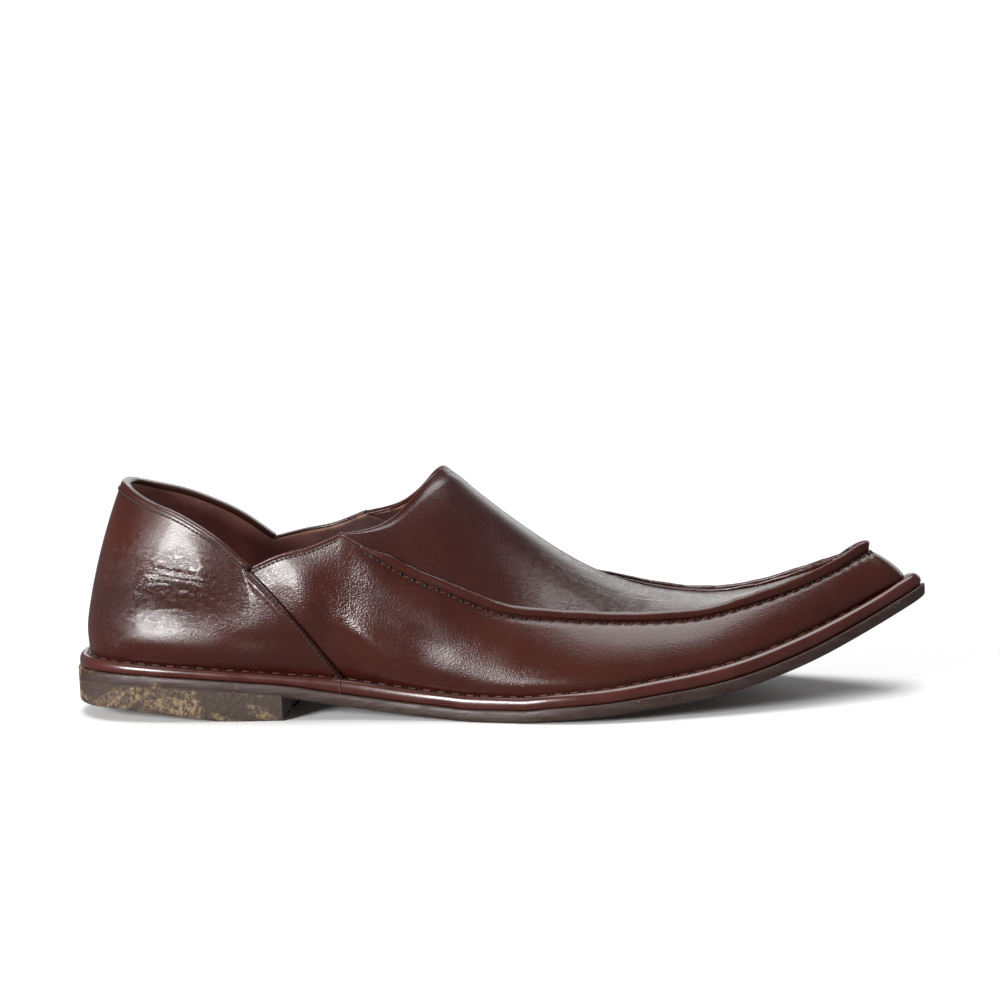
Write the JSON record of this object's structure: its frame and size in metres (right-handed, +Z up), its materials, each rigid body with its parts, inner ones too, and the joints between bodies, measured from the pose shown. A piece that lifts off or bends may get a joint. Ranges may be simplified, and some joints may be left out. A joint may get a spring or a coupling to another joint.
{
  "type": "mule",
  "caption": "Slip-on leather mule with a long upturned pointed toe, high back, side notches and a raised seam round the vamp.",
  "frame": {"origin": "middle of the shoe's outline, on the ground", "axes": "+X towards the toe, +Z up, -Y the outer side of the right foot"},
  "size_m": [0.321, 0.0982, 0.0878],
  "materials": {
    "upper_leather": "glossy",
    "lining_leather": "matte",
    "sole_leather": "satin",
    "heel_rubber": "matte"
  },
  "bodies": {
    "root": {"outsole": "sole_leather", "heel": "heel_rubber", "rand": "upper_leather", "upper": "upper_leather", "heel_quarter": "upper_leather", "insole": "lining_leather"}
  },
  "joints": []
}
